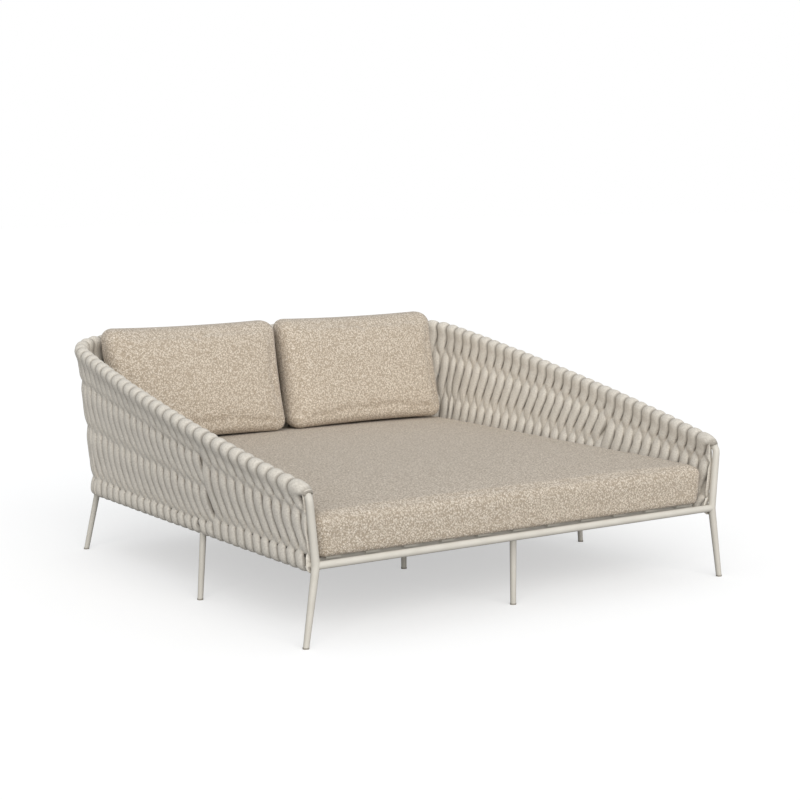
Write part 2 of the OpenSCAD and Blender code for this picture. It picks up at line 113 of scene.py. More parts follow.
def linear(red: int, green: int, blue: int) -> Colour:
    """Turns a colour as seen on a screen, 0 to 255, into a shader's linear one."""
    return tuple((c / SCREEN_WHITE) ** SCREEN_GAMMA for c in (red, green, blue))


def set_all(thing: Any, settings: dict[str, Any]) -> None:
    """Sets a thing's properties by name."""
    for name, value in settings.items():
        setattr(thing, name, value)


# Shader nodes


@dataclass
class Field:
    """A number that varies over a surface and takes part in sums as a plain number does."""

    graph: "Graph"
    socket: Socket

    def __add__(self, other: Number) -> "Field":
        """Gives this field plus another."""
        return self.graph.math("ADD", self, other)

    def __radd__(self, other: Number) -> "Field":
        """Gives a number plus this field."""
        return self.graph.math("ADD", other, self)

    def __sub__(self, other: Number) -> "Field":
        """Gives this field less another."""
        return self.graph.math("SUBTRACT", self, other)

    def __rsub__(self, other: Number) -> "Field":
        """Gives a number less this field."""
        return self.graph.math("SUBTRACT", other, self)

    def __mul__(self, other: Number) -> "Field":
        """Gives this field times another."""
        return self.graph.math("MULTIPLY", self, other)

    def __rmul__(self, other: Number) -> "Field":
        """Gives a number times this field."""
        return self.graph.math("MULTIPLY", other, self)

    def __abs__(self) -> "Field":
        """Gives this field without its sign."""
        return self.graph.math("ABSOLUTE", self, 0.0)


class Graph:
    """The node tree of one material, or of the world."""

    def __init__(self, owner: Union[bpy.types.Material, bpy.types.World]) -> None:
        """Starts an empty tree.

        Args:
            owner: the material or the world.
        """
        owner.use_nodes = True
        self.owner, self.tree = owner, owner.node_tree
        self.tree.nodes.clear()

    def node(self, kind: str, settings: dict[str, Any], sockets: dict[Any, Any]) -> bpy.types.Node:
        """Adds a node, its settings first and then its sockets.

        Args:
            kind: the node's type.
            settings: properties by name.
            sockets: inputs by name or number, each a value, a field or a socket.

        Returns:
            The node.
        """
        made = self.tree.nodes.new(kind)
        set_all(made, settings)
        for name, value in sockets.items():
            if isinstance(value, Field):
                value = value.socket
            if isinstance(value, Socket):
                self.tree.links.new(value, made.inputs[name])
            else:
                made.inputs[name].default_value = value
        return made

    def field(self, output: Union[int, str], kind: str, settings: dict[str, Any],
              sockets: dict[Any, Any]) -> Field:
        """Adds a node and reads one of its outputs as a field.

        Args:
            output: the output, by name or number.
            kind: the node's type.
            settings: properties by name.
            sockets: inputs by name or number.

        Returns:
            The field.
        """
        return Field(self, self.node(kind, settings, sockets).outputs[output])

    def math(self, operation: str, first: Number, second: Number) -> Field:
        """Adds a Math node that works on two numbers or fields."""
        return self.field(0, "ShaderNodeMath", {"operation": operation}, {0: first, 1: second})

    def place(self) -> Socket:
        """Gives the place on the piece, in metres."""
        return self.node("ShaderNodeTexCoord", {}, {}).outputs["Object"]

    def cloth_place(self) -> Socket:
        """Gives the place on the cloth, in metres across and along it."""
        return self.node("ShaderNodeUVMap", {"uv_map": "cloth"}, {}).outputs["UV"]

    def scaled(self, vector: Socket, shares: Sequence[float]) -> Socket:
        """Stretches a place by a factor along each axis."""
        return self.node("ShaderNodeVectorMath", {"operation": "MULTIPLY"},
                         {0: vector, 1: tuple(shares)}).outputs[0]

    def noise(self, vector: Socket, size: float, detail: float = 2.0, swirl: float = 0.0) -> Field:
        """Adds a noise.

        Args:
            vector: the place it is read at.
            size: the size of its spots, in metres.
            detail: how many finer layers it has.
            swirl: how far it is distorted.

        Returns:
            The noise, 0 to 1.
        """
        return self.field("Fac", "ShaderNodeTexNoise", {"noise_dimensions": "3D"},
                          {"Vector": vector, "Scale": 1.0 / size, "Detail": detail,
                           "Distortion": swirl})

    def loops(self, vector: Socket, size: float, swirl: float) -> Field:
        """Adds evenly spread spots that are drawn out into short worms.

        Args:
            vector: the place they are read at.
            size: the distance between two spots, in metres.
            swirl: how far they are drawn out, in metres.

        Returns:
            The distance from the nearest spot's middle, in spacings.
        """
        bent = self.node("ShaderNodeTexNoise", {"noise_dimensions": "3D"},
                         {"Vector": vector, "Scale": 1.0 / size, "Detail": 0.0})
        drawn = self.node("ShaderNodeVectorMath", {"operation": "MULTIPLY_ADD"},
                          {0: bent.outputs["Color"], 1: (swirl, swirl, swirl), 2: vector})
        return self.field("Distance", "ShaderNodeTexVoronoi", {"feature": "F1"},
                          {"Vector": drawn.outputs[0], "Scale": 1.0 / size})

    def eased(self, value: Field, low: float, high: float, start: float = 0.0,
              end: float = 1.0) -> Field:
        """Eases a field from one level to another.

        Args:
            value: the field.
            low: where it starts to rise.
            high: where it has risen.
            start: the level below low.
            end: the level above high.

        Returns:
            The eased field.
        """
        return self.field("Result", "ShaderNodeMapRange",
                          {"interpolation_type": "SMOOTHSTEP", "clamp": True},
                          {"Value": value, "From Min": low, "From Max": high, "To Min": start,
                           "To Max": end})

    def ribs(self, vector: Socket, axis: str, pitch: float, wander: float) -> Field:
        """Adds parallel ribs, as of yarns.

        Args:
            vector: the place they are read at.
            axis: the axis they follow each other along.
            pitch: the distance between two ribs, in metres.
            wander: how far they wander.

        Returns:
            The ribs' height, 0 to 1.
        """
        return self.field("Fac", "ShaderNodeTexWave",
                          {"wave_type": "BANDS", "bands_direction": axis, "wave_profile": "SIN"},
                          {"Vector": vector, "Scale": math.tau / (WAVE_RATE * pitch),
                           "Distortion": wander, "Detail": 1.0, "Detail Scale": 1.5})

    def blend(self, share: Number, first: Any, second: Any) -> Socket:
        """Blends two colours.

        Args:
            share: how much of the second.
            first: the first colour or socket.
            second: the second colour or socket.

        Returns:
            The blended colour.
        """
        first, second = ((*c, 1.0) if isinstance(c, tuple) else c for c in (first, second))
        made = self.node("ShaderNodeMix", {"data_type": "RGBA"}, {0: share, 6: first, 7: second})
        return made.outputs[2]

    def bump(self, height: Field, depth: float, strength: float, **under: Socket) -> Socket:
        """Turns a height into a bumpy normal.

        Args:
            height: the height, 0 to 1.
            depth: how high 1 is, in metres.
            strength: how much of it shows.
            under: a finer Normal that it is added to, if there is one.

        Returns:
            The normal.
        """
        made = self.node("ShaderNodeBump", {},
                         {"Strength": strength, "Distance": depth, "Height": height, **under})
        return made.outputs["Normal"]

    def to_camera(self, unseen: Socket, seen: Socket) -> Socket:
        """Mixes two shaders, the second for what the camera sees itself."""
        path = self.node("ShaderNodeLightPath", {}, {})
        return self.node("ShaderNodeMixShader", {}, {0: path.outputs["Is Camera Ray"], 1: unseen,
                                                     2: seen}).outputs[0]

    def finish(self, constants: dict[str, Any], varying: dict[str, Any]) -> bpy.types.Material:
        """Adds the surface shader.

        Args:
            constants: sockets that are the same all over.
            varying: sockets that vary over the surface.

        Returns:
            The finished material.
        """
        shader = self.node("ShaderNodeBsdfPrincipled", {}, {**constants, **varying})
        self.node("ShaderNodeOutputMaterial", {}, {"Surface": shader.outputs[0]})
        return self.owner


# Finishes. In each, uneven is how much rougher it is in some places than where it is smoothest.


@dataclass(frozen=True)
class PowderCoat:
    """Baked powder paint on metal: matt, a little uneven, with a fine orange-peel skin."""

    name: str = "powder coat"
    colour: Colour = linear(217, 212, 202)
    worn_colour: Colour = linear(206, 201, 190)
    patch_size: float = 0.09
    patch_detail: float = 3.0
    patch_band: Band = (0.35, 0.75)
    patch_share: float = 0.6
    grain_size: float = 0.0016
    grain_detail: float = 1.0
    grain_share: float = 0.18
    grain_depth: float = 0.00012
    grain_strength: float = 0.55
    roughness: float = 0.41
    uneven: float = 0.1
    ior: float = 1.5
    specular: float = 0.45

    def material(self) -> bpy.types.Material:
        """Builds the material."""
        graph = Graph(bpy.data.materials.new(self.name))
        place = graph.place()
        patches = graph.noise(place, self.patch_size, self.patch_detail)
        grain = graph.noise(place, self.grain_size, self.grain_detail)
        share = graph.eased(patches, *self.patch_band) * self.patch_share + grain * self.grain_share
        return graph.finish(
            {"IOR": self.ior, "Specular IOR Level": self.specular},
            {"Base Color": graph.blend(share, self.colour, self.worn_colour),
             "Roughness": patches * self.uneven + self.roughness,
             "Normal": graph.bump(grain, self.grain_depth, self.grain_strength)})


@dataclass(frozen=True)
class StrapTextile:
    """A padded strap's woven cover: fine ribs across and along, with soft uneven yarns, and painted
    shade darkening its edges where the straps crease together.
    """

    name: str = "strap textile"
    light: Colour = linear(232, 226, 215)
    dark: Colour = linear(200, 193, 182)
    # Painted shade: a darker colour towards each strap's edges stands in for the shade in the creases
    # between straps.
    painted_crease_shade: Colour = linear(138, 131, 121)
    painted_crease_shade_share: float = 0.75
    painted_crease_shade_start: float = 0.62
    half_width: float = 0.031
    yarn: float = 0.0026
    weft: float = 0.8
    yarn_wander: float = 0.6
    yarn_depth: float = 0.0006
    yarn_share: float = 0.3
    mottle_size: float = 0.006
    mottle_swirl: float = 0.5
    mottle_band: Band = (0.34, 0.7)
    mottle_share: float = 0.6
    wrinkle_size: float = 0.016
    wrinkle_swirl: float = 0.4
    wrinkle_stretch: tuple[float, ...] = (1.0, 0.45, 1.0)
    wrinkle_depth: float = 0.0014
    strength: float = 0.5
    roughness: float = 0.82
    uneven: float = 0.12
    specular: float = 0.2
    sheen: Band = (0.12, 0.5)

    def material(self) -> bpy.types.Material:
        """Builds the material."""
        graph = Graph(bpy.data.materials.new(self.name))
        cloth = graph.cloth_place()
        weave = (graph.ribs(cloth, "X", self.yarn, self.yarn_wander)
                 * graph.ribs(cloth, "Y", self.yarn * self.weft, self.yarn_wander))
        mottle = graph.noise(cloth, self.mottle_size, swirl=self.mottle_swirl)
        wrinkle = graph.noise(graph.scaled(cloth, self.wrinkle_stretch), self.wrinkle_size,
                              swirl=self.wrinkle_swirl)
        share = (graph.eased(mottle, *self.mottle_band) * self.mottle_share
                 + (1.0 - weave) * self.yarn_share)
        # Painted shade mask: it rises towards the strap's edges, and the cover is blended there
        # towards the painted crease shade.
        aside = abs(graph.field("X", "ShaderNodeSeparateXYZ", {}, {0: cloth}))
        edge = graph.eased(aside, self.half_width * self.painted_crease_shade_start, self.half_width)
        cover = graph.blend(share, self.light, self.dark)
        fine = graph.bump(weave, self.yarn_depth, self.strength)
        return graph.finish(
            {"Specular IOR Level": self.specular, "Sheen Weight": self.sheen[0],
             "Sheen Roughness": self.sheen[1]},
            {"Base Color": graph.blend(edge * self.painted_crease_shade_share, cover, self.painted_crease_shade),
             "Roughness": mottle * self.uneven + self.roughness,
             "Normal": graph.bump(wrinkle, self.wrinkle_depth, self.strength, Normal=fine)})


@dataclass(frozen=True)
class LoopedFabric:
    """Melange upholstery with short looped yarns, light and dark ones side by side."""

    name: str = "cushion fabric"
    light: Colour = linear(238, 227, 213)
    middle: Colour = linear(207, 194, 176)
    dark: Colour = linear(147, 131, 112)
    loop_size: float = 0.0070
    swirl: float = 0.0090
    pale_band: Band = (0.16, 0.46)
    pale_share: float = 0.9
    deep_band: Band = (0.36, 0.66)
    deep_share: float = 0.8
    yarn_size: float = 0.0030
    yarn_swirl: float = 0.8
    yarn_band: Band = (0.4, 0.7)
    yarn_share: float = 0.25
    tone_size: float = 0.35
    tone_share: float = 0.12
    loop_depth: float = 0.0028
    heights: tuple[float, float, float] = (0.6, 0.5, 0.3)
    strength: float = 0.7
    roughness: float = 0.86
    uneven: float = 0.1
    specular: float = 0.15
    sheen: Band = (0.18, 0.6)

    def material(self) -> bpy.types.Material:
        """Builds the material."""
        graph = Graph(bpy.data.materials.new(self.name))
        place = graph.place()
        loops = graph.loops(place, self.loop_size, self.swirl)
        yarns = graph.noise(place, self.yarn_size, swirl=self.yarn_swirl)
        tone = graph.noise(place, self.tone_size)
        pale = graph.eased(loops, *self.pale_band, 1.0, 0.0)
        deep = graph.eased(loops, *self.deep_band)
        base = graph.blend(pale * self.pale_share, self.middle, self.light)
        base = graph.blend(deep * self.deep_share, base, self.dark)
        base = graph.blend(graph.eased(yarns, *self.yarn_band) * self.yarn_share, base, self.light)
        base = graph.blend(tone * self.tone_share, base, self.middle)
        loop_height, yarn_height, gap_drop = self.heights
        height = pale * loop_height + yarns * yarn_height - deep * gap_drop
        return graph.finish(
            {"Specular IOR Level": self.specular, "Sheen Weight": self.sheen[0],
             "Sheen Roughness": self.sheen[1]},
            {"Base Color": base,
             "Roughness": yarns * self.uneven + self.roughness,
             "Normal": graph.bump(height, self.loop_depth, self.strength)})


@dataclass(frozen=True)
class Foam:
    """Open-celled cream foam."""

    name: str = "foam"
    colour: Colour = linear(229, 219, 190)
    shade: Colour = linear(206, 192, 156)
    cell: float = 0.0018
    cell_detail: float = 3.0
    cell_band: Band = (0.35, 0.65)
    cell_depth: float = 0.0008
    strength: float = 0.6
    roughness: float = 0.88
    uneven: float = 0.1
    specular: float = 0.1

    def material(self) -> bpy.types.Material:
        """Builds the material."""
        graph = Graph(bpy.data.materials.new(self.name))
        cells = graph.noise(graph.place(), self.cell, self.cell_detail)
        share = graph.eased(cells, *self.cell_band)
        return graph.finish(
            {"Specular IOR Level": self.specular},
            {"Base Color": graph.blend(share, self.colour, self.shade),
             "Roughness": cells * self.uneven + self.roughness,
             "Normal": graph.bump(cells, self.cell_depth, self.strength)})


@dataclass(frozen=True)
class GlidePlastic:
    """Moulded greige plastic with a fine matt grain, scuffed paler near the floor."""

    name: str = "glide plastic"
    colour: Colour = linear(162, 156, 146)
    scuff: Colour = linear(184, 179, 169)
    scuff_size: float = 0.006
    scuff_detail: float = 4.0
    scuff_swirl: float = 1.0
    scuff_band: Band = (0.55, 0.8)
    scuff_share: float = 0.7
    grain: float = 0.0009
    grain_depth: float = 0.0001
    strength: float = 0.5
    roughness: float = 0.4
    uneven: float = 0.2
    specular: float = 0.4

    def material(self) -> bpy.types.Material:
        """Builds the material."""
        graph = Graph(bpy.data.materials.new(self.name))
        place = graph.place()
        grain = graph.noise(place, self.grain)
        scuffs = graph.noise(place, self.scuff_size, self.scuff_detail, self.scuff_swirl)
        share = graph.eased(scuffs, *self.scuff_band) * self.scuff_share
        return graph.finish(
            {"Specular IOR Level": self.specular},
            {"Base Color": graph.blend(share, self.colour, self.scuff),
             "Roughness": grain * self.uneven + self.roughness,
             "Normal": graph.bump(grain, self.grain_depth, self.strength)})


# Meshes


def in_scene(name: str, data: bpy.types.ID) -> bpy.types.Object:
    """Puts an object in the scene.

    Args:
        name: the object's name.
        data: its mesh, camera or light.

    Returns:
        The object.
    """
    made = bpy.data.objects.new(name, data)
    bpy.context.scene.collection.objects.link(made)
    return made


def closed_piece(name: str, points: np.ndarray, faces: list[list[int]]) -> bpy.types.Object:
    """Makes a smooth-shaded piece whose faces all look outward.

    Args:
        name: the piece's name.
        points: its points, one row each.
        faces: its faces, one row each.

    Returns:
        The piece, in the scene.
    """
    mesh = bpy.data.meshes.new(name)
    mesh.from_pydata(points.tolist(), [], faces)
    work = bmesh.new()
    work.from_mesh(mesh)
    bmesh.ops.recalc_face_normals(work, faces=work.faces)
    work.to_mesh(mesh)
    work.free()
    mesh.shade_smooth()
    return in_scene(name, mesh)


def rows_of(mesh: bpy.types.Mesh, what: str = "co") -> np.ndarray:
    """Reads what a mesh holds for each of its points.

    Args:
        mesh: the mesh.
        what: "co" for the points themselves, or "normal".

    Returns:
        The points or normals, one row each.
    """
    flat = np.empty(len(mesh.vertices) * 3)
    mesh.vertices.foreach_get(what, flat)
    return flat.reshape(-1, 3)


def set_points(mesh: bpy.types.Mesh, points: np.ndarray) -> None:
    """Writes a mesh's points, one row each."""
    mesh.vertices.foreach_set("co", points.ravel())
    mesh.update()


def modified(piece: bpy.types.Object, kind: str, **settings: Any) -> bpy.types.Modifier:
    """Puts a modifier on a piece.

    Args:
        piece: the piece.
        kind: the modifier's type.
        settings: the modifier's properties by name.

    Returns:
        The modifier.
    """
    made = piece.modifiers.new(kind.lower(), kind)
    set_all(made, settings)
    return made


def baked(piece: bpy.types.Object) -> None:
    """Replaces a piece's mesh by what its modifiers make of it, and takes them off.

    Args:
        piece: the piece.
    """
    graph = bpy.context.evaluated_depsgraph_get()
    made = bpy.data.meshes.new_from_object(piece.evaluated_get(graph))
    old = piece.data
    piece.modifiers.clear()
    piece.data = made
    bpy.data.meshes.remove(old)


def dressed(piece: bpy.types.Object, material: bpy.types.Material, body: str,
            node: str) -> bpy.types.Object:
    """Gives a piece its material and its place in the frame.

    Args:
        piece: the piece.
        material: its material.
        body: the body that it rides on.
        node: the CAD node that it replaces.

    Returns:
        The piece.
    """
    piece.data.materials.append(material)
    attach(piece, body)
    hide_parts(node)
    return piece


def ring_faces(rows: int, columns: int, closed: bool) -> np.ndarray:
    """Lists the faces between rows of a grid whose rows are closed rings.

    Args:
        rows: how many rings there are.
        columns: how many points a ring has.
        closed: whether the last ring joins the first.

    Returns:
        The faces, four corners each.
    """
    count = rows if closed else rows - 1
    i, k = np.meshgrid(np.arange(count), np.arange(columns), indexing="ij")
    here, ahead = i * columns, (i + 1) % rows * columns
    after = (k + 1) % columns
    return np.stack([here + k, here + after, ahead + after, ahead + k], axis=-1).reshape(-1, 4)


# The rails that the straps are looped round


@dataclass
class WallPoints:
    """Points in the flat frame of the wall between the rails.

    Attributes:
        s: lengths along the top rail, from the front.
        out: distances out of the wall.
        down: distances below the top rail.
    """

    s: np.ndarray
    out: np.ndarray
    down: np.ndarray


@dataclass(frozen=True)
class Rails:
    """Centre lines of the top and bottom rails over the right half, by the length s from the front."""

    depth: float = 2.142
    base_half_w: float = 0.918
    top_half_w: float = 1.001
    rail_z: float = 0.285
    top_front_z: float = 0.537
    tube_r: float = 0.014
    side_arc_r: float = 8.5
    top_corner_r: float = 0.265
    slope: float = 0.179
    bend_reach: float = 0.042
    bend_drop_share: float = 0.95
    bend_pull_share: float = 0.55
    bend_points: int = 33
    base_corner_r: float = 0.200
    back_flare: float = 0.070
    bulge_share: float = 0.496
    strap_depth: float = 0.0234
    strap_pitch: float = 0.0625
    slack_share: float = 1.0 / 16.0
    bow_share: float = 7.0 / 16.0
    probe: float = 0.0005

    @cached_property
    def side_slack(self) -> float:
        """Room that the straps leave beside them."""
        return self.strap_pitch * self.slack_share

    @cached_property
    def front_y(self) -> float:
        """Place of the front rail."""
        return self.tube_r - self.depth / 2.0

    @cached_property
    def back_y(self) -> float:
        """Place of the top rail's back."""
        bow = (self.strap_pitch * self.bow_share) ** 2 / (2.0 * self.top_corner_r)
        return self.depth / 2.0 - self.strap_depth - bow

    @cached_property
    def base_back_y(self) -> float:
        """Place of the bottom rail's back."""
        return self.back_y - self.back_flare

    @cached_property
    def arc_centre(self) -> tuple[float, float]:
        """Centre of the top rail's long side arc."""
        return self.top_half_w - self.side_arc_r, self.front_y + self.bulge_share * self.depth

    @cached_property
    def corner(self) -> tuple[float, float]:
        """Centre of the top rail's back corner."""
        y = self.back_y - self.top_corner_r
        reach = self.side_arc_r - self.top_corner_r
        return self.arc_centre[0] + math.sqrt(reach**2 - (y - self.arc_centre[1]) ** 2), y

    @cached_property
    def turns(self) -> tuple[float, float]:
        """Directions in which the side arc starts and ends."""
        ends = (self.front_y - self.arc_centre[1]) / self.side_arc_r
        rest = (self.corner[1] - self.arc_centre[1]) / (self.side_arc_r - self.top_corner_r)
        return math.asin(ends), math.asin(rest)

    @cached_property
    def side_len(self) -> float:
        """Length of the side."""
        return self.side_arc_r * (self.turns[1] - self.turns[0])

    @cached_property
    def corner_len(self) -> float:
        """Length of the back corner."""
        return self.top_corner_r * (QUARTER - self.turns[1])

    @cached_property
    def half_len(self) -> float:
        """Length from the front post to the middle of the back."""
        return self.side_len + self.corner_len + self.corner[0]

    @cached_property
    def base_corner(self) -> tuple[float, float]:
        """Centre of the bottom rail's back corner."""
        return self.base_half_w - self.base_corner_r, self.base_back_y - self.base_corner_r

    @cached_property
    def bend(self) -> tuple[np.ndarray, np.ndarray]:
        """The bend from the front post into the top rail: distances behind the post, and drops."""
        end = np.array([self.bend_reach, 0.0])
        start = np.array([0.0, -self.bend_reach * self.bend_drop_share])
        pull = self.bend_reach * self.bend_pull_share
        t = np.linspace(0.0, 1.0, self.bend_points)[:, None]
        away, into = start + [0.0, pull], end - unit(np.array([1.0, self.slope])) * pull
        path = ((1 - t) ** 3 * start + 3 * t * (1 - t) ** 2 * away + 3 * t * t * (1 - t) * into
                + t**3 * end)
        return path[:, 0], path[:, 1]

    def _by_run(self, s: np.ndarray, side: Any, corner: Any, back: Any) -> np.ndarray:
        """Picks for each length s the value for the side, the corner or the back that it is in."""
        return np.where(s < self.side_len, side,
                        np.where(s < self.side_len + self.corner_len, corner, back))

    def top(self, s: np.ndarray) -> np.ndarray:
        """Gives points of the top rail.

        Args:
            s: lengths from the front.

        Returns:
            The points.
        """
        u = np.clip(s - self.side_len, 0.0, self.corner_len)
        side_turn = self.turns[0] + s / self.side_arc_r
        corner_turn = self.turns[1] + u / self.top_corner_r
        x = self._by_run(s, self.arc_centre[0] + self.side_arc_r * np.cos(side_turn),
                         self.corner[0] + self.top_corner_r * np.cos(corner_turn), self.half_len - s)
        y = self._by_run(s, self.arc_centre[1] + self.side_arc_r * np.sin(side_turn),
                         self.corner[1] + self.top_corner_r * np.sin(corner_turn), self.back_y)
        eased = self.side_len + u - u * u / (2.0 * self.corner_len)
        z = self.top_front_z + self.slope * np.where(s < self.side_len, s, eased)
        runs, drops = self.bend
        end_z = self.top_front_z + self.slope * self.bend_reach
        z = np.where(s < self.bend_reach, end_z + np.interp(s, runs, drops), z)
        return np.stack([x, y, z], axis=-1)

    def base(self, s: np.ndarray) -> np.ndarray:
        """Gives the points of the bottom rail that lie under the top rail's.

        Args:
            s: lengths along the top rail.

        Returns:
            The points.
        """
        turn = np.clip((s - self.side_len) / self.corner_len, 0.0, 1.0) * math.pi / 2.0
        over = self.arc_centre[1] + self.side_arc_r * np.sin(self.turns[0] + s / self.side_arc_r)
        x = self._by_run(s, self.base_half_w,
                         self.base_corner[0] + self.base_corner_r * np.cos(turn),
                         (self.half_len - s) * self.base_corner[0] / self.corner[0])
        y = self._by_run(s, np.minimum(over, self.base_corner[1]),
                         self.base_corner[1] + self.base_corner_r * np.sin(turn),
                         self.base_back_y)
        return np.stack([x, y, np.full_like(x, self.rail_z)], axis=-1)

    def wall(self, spots: WallPoints, height: float) -> np.ndarray:
        """Places points of the wall's flat frame on the wall between the rails.

        Args:
            spots: the points.
            height: the wall's height that their distances down are measured against.

        Returns:
            The points in the daybed's frame.
        """
        s, down = spots.s, spots.down
        top, foot = self.top(s), self.base(s)
        before, after = s - self.probe, s + self.probe
        ahead = self.top(after) + self.base(after) - self.top(before) - self.base(before)
        drop = foot - top
        reach = np.linalg.norm(drop, axis=-1)
        drop = unit(drop)
        normal = unit(np.cross(drop, ahead))
        over = unit(np.cross(normal, self.top(after) - self.top(before)))
        fitted = np.where(down < height, down * reach / height, reach + down - height)
        fall = np.where(down[..., None] < 0.0, -over * down[..., None], drop * fitted[..., None])
        return top + normal * spots.out[..., None] + fall


# Straps


@dataclass(frozen=True)
class Twist:
    """How the two legs of a loop swap places on their way down: outside, inside, and back again."""

    crossings: tuple[float, ...]
    sway: float = 0.27
    pinch: float = 0.57
    steady: float = 0.20
    opening: float = 0.46
    closing: float = 0.56
    dive: float = 0.26

    def leg(self, t: np.ndarray) -> tuple[np.ndarray, np.ndarray, np.ndarray]:
        """Lays out the leg that starts outside. The other leg is its mirror image.

        Args:
            t: shares of the height, from the top rail down.

        Returns:
            How far out it is, from -1 to 1, its sideways shift and its width, both in pitches.
        """
        knots = np.array([0.0, *self.crossings, 1.0])
        last = len(knots) - 2
        part = np.clip(np.searchsorted(knots, t, side="right") - 1, 0, last)
        u = (t - knots[part]) / (knots[part + 1] - knots[part])
        face = np.where(part % 2 == 0, 1.0, -1.0)
        leaned = smooth_step((u - self.steady) / (1.0 - self.steady))
        shift = self.sway * np.where(part == 0, -leaned,
                                     np.where(part == last, 1.0 - smooth_step(u), 1.0 - 2.0 * leaned))
        opened = np.where(part == 0, 1.0, np.clip(u / self.opening, 0.0, 1.0))
        closed = np.where(part == last, 1.0, np.clip((1.0 - u) / self.closing, 0.0, 1.0))
        width = self.pinch + (1.0 - self.pinch) * np.minimum(opened, closed)
        rise = np.where(part == 0, 1.0, self._surfaced(u))
        fall = np.where(part == last, 1.0, self._surfaced(1.0 - u))
        return face * np.minimum(rise, fall), face * shift, width

    def _surfaced(self, u: np.ndarray) -> np.ndarray:
        """Gives how far out of the wall's middle a leg is at a share u of a part past a crossing."""
        return smooth_step(0.5 + u / self.dive / 2.0) * 2.0 - 1.0


@dataclass
class Loop:
    """One closed strap, as a line through its middle in the wall's flat frame.

    Attributes:
        out: distances out of the wall.
        down: distances below the top rail.
        shift: how far aside the line is.
        width: how wide the strap is.
        thickness: how thick it is.
        pinch: how much of its width is gathered in.
        facing: which way its edges curl, out and down.
    """

    out: np.ndarray
    down: np.ndarray
    shift: np.ndarray
    width: np.ndarray
    thickness: np.ndarray
    pinch: np.ndarray
    facing: np.ndarray


